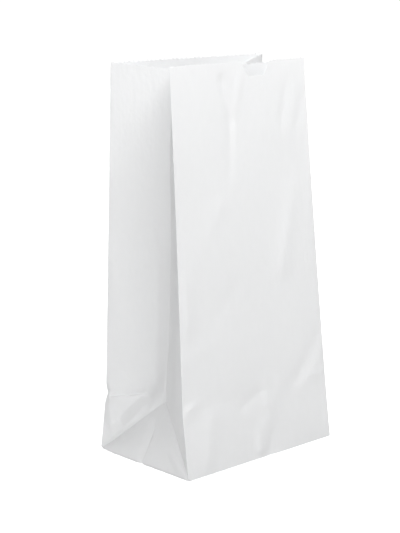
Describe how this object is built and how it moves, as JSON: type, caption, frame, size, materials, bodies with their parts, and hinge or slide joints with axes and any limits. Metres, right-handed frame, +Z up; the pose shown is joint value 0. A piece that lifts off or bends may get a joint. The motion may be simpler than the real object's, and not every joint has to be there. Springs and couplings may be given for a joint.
{
  "type": "paper bag",
  "caption": "Plain white block-bottom paper bag with folded side gussets, toothed rim and thumb cut, empty and standing open.",
  "frame": {"origin": "middle of the flat base, on the surface the bag stands on", "axes": "+Z up to the open mouth, +X along the front panel from its left edge to its right edge, +Y from the front panel with the thumb cut to the back panel"},
  "size_m": [0.127, 0.0826, 0.2471],
  "materials": {
    "paper": "matte bleached kraft paper with a faint machine-glazed sheen"
  },
  "bodies": {
    "root": {"paper_bag": "paper"}
  },
  "joints": []
}
